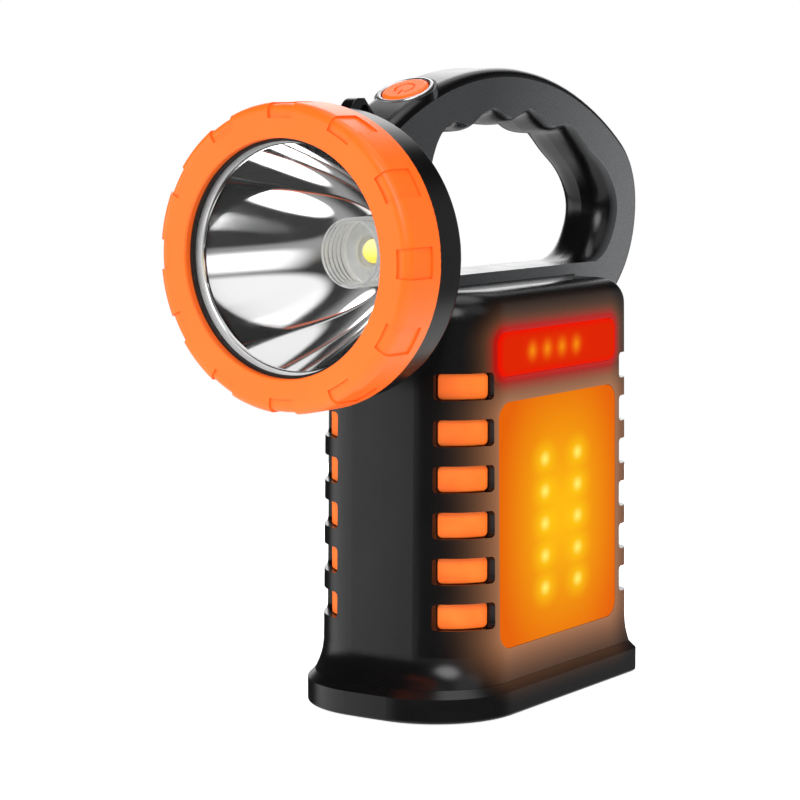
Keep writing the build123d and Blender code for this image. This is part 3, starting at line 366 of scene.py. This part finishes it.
def red_glow():
    """The lit red cover: bright rim, four LEDs behind it."""
    s = Shader("red_lens", (0.02, 0.0, 0.0), 0.35, IOR=1.06)
    _, y, z = s.xyz()
    rim = window_distance(s, tuple(v + d for v, d in zip(RED_WINDOW, (2.0, -2.0, 2.0, -2.0))), 2)
    rim = s.ramp(rim, 0.0, 2.0, 0.0, 1.0)
    colour = s.blend(rim, srgb(224, 38, 0), srgb(240, 20, 0))
    lights = 0.0
    for led in RED_LEDS:
        lights = s.math("MAXIMUM", lights, spot(s, y, z, led, RED_ROW, 4.6))
    across = s.math("ABSOLUTE", s.math("SUBTRACT", y, 3.6 * MM))
    along = s.math("ABSOLUTE", s.math("SUBTRACT", z, RED_ROW * MM))
    band = s.math("MULTIPLY", s.ramp(across, 8 * MM, 20 * MM, 1.0, 0.0), s.ramp(along, 0.0, 5 * MM, 1.0, 0.0))
    colour = s.blend(s.math("MULTIPLY", band, 0.4), colour, srgb(245, 80, 4))
    colour = s.blend(s.math("MINIMUM", s.math("MULTIPLY", lights, 1.2), 1.0), colour, srgb(250, 140, 16))
    s.set("Emission Color", colour)
    s.set("Emission Strength", 0.95)
    return s.material


black = moulded_black()
orange = moulded_orange()
screw_metal = metallic("screw_steel", (0.45, 0.45, 0.46), 0.3)
board_green = plain("circuit_board", (0.01, 0.12, 0.05), 0.35)
rubber = plain("black_rubber", srgb(24, 24, 24), 0.6)
dark_plastic = plain("switch_plastic", srgb(40, 40, 42), 0.45)
sink_metal = metallic("heat_sink_metal", (0.6, 0.61, 0.62), 0.35)
contact_metal = metallic("contact_metal", (0.8, 0.78, 0.7), 0.2)

give(black, "body_shell_left", "body_shell_right", "head_housing", "strap_lug", "base_cover")
give(orange, "bezel_ring", "power_button")
give(grip_orange(), *[name for name in nodes if name.startswith("grip_insert")])
give(clear_lens(), "front_lens")
give(rubber, "lens_gasket", "bezel_seal", "base_pad", "charging_flap")
give(screw_metal, "head_screws", "shell_screws", "handle_screws", "base_screws", "flap_pin")
give(metallic("button_ring_metal", (0.72, 0.73, 0.75), 0.3), "button_ring")
give(board_green, "amber_led_board", "red_led_board", "switch_board", "main_circuit_board")
give(amber_glow(), "amber_diffuser")
give(red_glow(), "red_lens")
give(plain("amber_led", srgb(255, 200, 70), 0.3), "amber_leds")
give(plain("red_led", srgb(235, 70, 30), 0.3), "red_leds")
give(plain("led_board_metal", srgb(205, 206, 208), 0.3), "led_board")
give(sink_metal, "heat_sink", "charging_socket")
give(plain("white_plastic", srgb(225, 225, 220), 0.45), "switch_plunger")
give(dark_plastic, "power_switch", "battery_holder", "board_components")
give(plain("battery_wrap", srgb(30, 85, 165), 0.28), "battery_cells")
give(contact_metal, "battery_springs", "battery_tabs")
give(plain("wire_insulation", srgb(170, 20, 14), 0.4), "switch_wires")


# ---------------------------------------------------------------- turned pieces, smoother than the CAD mesh
def turned(name, profile, material, stands_for, segments=160):
    """A piece turned round the lamp's axis from (y, radius) points in millimetres, as a closed loop."""
    verts = []
    for i in range(segments):
        turn = 2 * math.pi * i / segments
        for y, radius in profile:
            verts.append((radius * math.sin(turn) * MM, y * MM, HEAD_Z + radius * math.cos(turn) * MM))
    count = len(profile)
    faces = []
    for i in range(segments):
        this, following = i * count, (i + 1) % segments * count
        for j in range(count):
            k = (j + 1) % count
            faces.append((this + j, this + k, following + k, following + j))
    shape = bpy.data.meshes.new(name)
    shape.from_pydata(verts, [], faces)
    made = bpy.data.objects.new(name, shape)
    scene.collection.objects.link(made)
    shape.materials.append(material)
    outwards = bmesh.new()
    outwards.from_mesh(shape)
    bmesh.ops.recalc_face_normals(outwards, faces=outwards.faces)
    outwards.to_mesh(shape)
    outwards.free()
    shape.shade_smooth()
    shape.set_sharp_from_angle(angle=math.radians(32))
    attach(made, "case")
    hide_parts(stands_for)
    return made


BOWL_VERTEX = -41.2           # y of the reflector's parabola, and its focal length, as in the CAD
BOWL_FOCUS = 5.7
BOWL_FRONT = -84.2
BOWL_BACK = -46.0
SKIN = 1.2                    # thickness of the bowl's wall


def parabola(steps, offset=0.0):
    """Points down the reflector's bowl, moved outwards by an offset."""
    points = []
    for i in range(steps + 1):
        y = BOWL_FRONT + (BOWL_BACK - BOWL_FRONT) * i / steps
        points.append((y, offset + math.sqrt(4 * BOWL_FOCUS * (BOWL_VERTEX - y))))
    return points


bowl = parabola(72)
skin = parabola(24, SKIN)
flange = [(BOWL_FRONT, 39.2), (-85.38, 39.2), (-85.38, bowl[0][1] + 0.3), (-85.1, bowl[0][1])]
turned("reflector_smooth", bowl + skin[::-1] + flange, mirror(), "reflector", 240)

# the collar: ribs round its outside, an open front with a rounded lip
collar_outside = []
for i in range(5):
    y = -57.4 + i * 2.0
    collar_outside += [(y, 10.05), (y + 0.35, 10.05), (y + 0.6, 9.75), (y + 1.5, 9.75), (y + 1.75, 10.05)]
collar_inside = [(-58.58, 9.5), (-58.4, 9.25), (-48.8, 9.1), (-48.8, 4.65), (-47.6, 4.65), (-47.6, 6.05),
                 (-45.82, 6.05), (-45.82, 9.85), (-47.6, 9.85), (-47.6, 10.05)]
collar_lip = [(-58.0, 10.05), (-58.45, 9.85)]
collar = turned("led_collar_ribbed", collar_inside + collar_outside[::-1] + collar_lip,
                collar_clear(), "led_collar")
collar.visible_glossy = False

dome = [(-49.38 + 0.02 * i * i, 0.05 + 3.0 * math.sin(i / 11 * math.pi / 2)) for i in range(12)]
turned("led_emitter_dome", dome + [(-46.8, 3.4), (-45.85, 3.4), (-45.85, 0.05)], lit_phosphor(),
       "led_emitter", 64)


# ---------------------------------------------------------------- camera, lights, floor and studio
def aim(direction):
    return Vector(direction).to_track_quat("-Z", "Y")


AZIMUTH = math.radians(34.02)
PITCH = math.radians(6.57)
camera_data = bpy.data.cameras.new("camera")
camera = bpy.data.objects.new("camera", camera_data)
scene.collection.objects.link(camera)
camera.location = (0.4323, -0.6736, 0.1803)
camera.rotation_mode = "QUATERNION"
camera.rotation_quaternion = aim((
    -math.sin(AZIMUTH) * math.cos(PITCH), math.cos(AZIMUTH) * math.cos(PITCH), -math.sin(PITCH)))
camera_data.lens = 120.5
camera_data.sensor_width = 36
scene.camera = camera


def soft_light(name, place, target, size, power):
    data = bpy.data.lights.new(name, "AREA")
    data.shape = "RECTANGLE"
    data.size, data.size_y = size
    data.energy = power
    light = bpy.data.objects.new(name, data)
    scene.collection.objects.link(light)
    light.location = place
    light.rotation_mode = "QUATERNION"
    light.rotation_quaternion = aim(Vector(target) - Vector(place))
    light.visible_camera = False
    light.visible_glossy = False


FLOOR_RADIUS = 0.5
FLOOR_SIDES = 96
floor_mesh = bpy.data.meshes.new("floor")
turns = [2 * math.pi * i / FLOOR_SIDES for i in range(FLOOR_SIDES)]
floor_mesh.from_pydata([(FLOOR_RADIUS * math.cos(t), FLOOR_RADIUS * math.sin(t), 0) for t in turns], [],
                       [tuple(range(FLOOR_SIDES))])
floor = bpy.data.objects.new("floor", floor_mesh)
scene.collection.objects.link(floor)
floor_shader = Shader("floor_white", (0.8, 0.8, 0.8), 0.9, IOR=1.05)
floor_shader.set("Emission Color",
                 floor_shader.blend(floor_shader.noise(2.0), (1.0, 1.0, 1.0), (0.99, 0.99, 0.99)))
floor_shader.set("Emission Strength", 0.78)
floor_mesh.materials.append(floor_shader.material)
floor.visible_glossy = False

world = bpy.data.worlds.new("studio")
world.use_nodes = True
world_nodes = world.node_tree.nodes
world_links = world.node_tree.links


def world_math(operation, *values):
    made = world_nodes.new("ShaderNodeMath")
    made.operation = operation
    for socket, value in zip(made.inputs, values):
        if isinstance(value, (int, float)):
            socket.default_value = value
        else:
            world_links.new(value, socket)
    return made.outputs[0]


direction = world_nodes.new("ShaderNodeTexCoord").outputs["Generated"]


def panel(towards, wide, soft):
    """A round bright patch of the studio: 1 within wide degrees of a direction, 0 beyond wide + soft."""
    dot = world_nodes.new("ShaderNodeVectorMath")
    dot.operation = "DOT_PRODUCT"
    world_links.new(direction, dot.inputs[0])
    dot.inputs[1].default_value = Vector(towards).normalized()
    patch = world_nodes.new("ShaderNodeMapRange")
    patch.interpolation_type = "SMOOTHSTEP"
    world_links.new(dot.outputs["Value"], patch.inputs["Value"])
    patch.inputs["From Min"].default_value = math.cos(math.radians(wide + soft))
    patch.inputs["From Max"].default_value = math.cos(math.radians(wide))
    return patch.outputs[0]


STUDIO = [
    # direction, half angle, soft edge, strength
    ((0.12, 0.10, 1.0), 14, 14, 2.2),         # overhead
    ((0.50, -0.70, 0.52), 9, 13, 6.0),        # overhead, in front
    ((-0.30, 0.68, 0.68), 10, 12, 1.2),       # overhead, behind
    ((0.45, 0.9, 0.05), 14, 16, 0.25),        # backdrop behind, to the right
    ((-0.55, 0.75, 0.28), 15, 10, 2.0),       # white backdrop behind, to the left
    ((1.0, -0.1, 0.75), 10, 14, 0.8),         # softbox on the right
]
studio = 0.02
for towards, wide, soft, strength in STUDIO:
    studio = world_math("ADD", studio, world_math("MULTIPLY", panel(towards, wide, soft), strength))
axes = world_nodes.new("ShaderNodeSeparateXYZ")
world_links.new(direction, axes.inputs[0])


def fade(value, low, high):
    """0 at low and 1 at high, smoothly between; high may be the smaller number."""
    made = world_nodes.new("ShaderNodeMapRange")
    made.interpolation_type = "SMOOTHSTEP"
    world_links.new(value, made.inputs["Value"])
    made.inputs["From Min"].default_value = low
    made.inputs["From Max"].default_value = high
    return made.outputs[0]


# white below the horizon and a grey band in front, for the lamp's reflector to mirror,
# and a low softbox on the left
front = fade(axes.outputs[1], -0.1, -0.35)
height = axes.outputs[2]
grey_band = world_math("MULTIPLY", fade(height, -0.2, 0.18), fade(height, 0.34, 0.24))
below = fade(height, -0.30, -0.44)
left_box = world_math("MULTIPLY", panel((-0.92, -0.55, -0.05), 18, 24),
                      world_math("MULTIPLY", fade(height, -0.36, -0.22), fade(height, 0.22, 0.06)))
studio = world_math("ADD", studio, world_math("MULTIPLY", left_box, 1.4))
level_band = world_math("MULTIPLY", world_math("MULTIPLY", front, grey_band), 0.3)
studio = world_math("ADD", studio, world_math("ADD", below, level_band))
seen = world_nodes.new("ShaderNodeLightPath").outputs["Is Camera Ray"]
level = world_nodes.new("ShaderNodeMix")
level.data_type = "FLOAT"
world_links.new(seen, level.inputs[0])
world_links.new(studio, level.inputs[2])
level.inputs[3].default_value = 1.0
background = world_nodes["Background"]
background.inputs["Color"].default_value = (1, 1, 1, 1)
world_links.new(level.outputs[0], background.inputs["Strength"])
scene.world = world

soft_light("key_left", (-0.95, -0.75, 0.45), (0, 0, 0.1), (0.5, 0.7), 9)
soft_light("key_front", (0.1, -1.3, 0.85), (0, -0.05, 0.13), (0.5, 0.3), 5)
soft_light("key_right", (1.2, 0.35, 0.6), (0, 0, 0.14), (0.5, 0.5), 7)
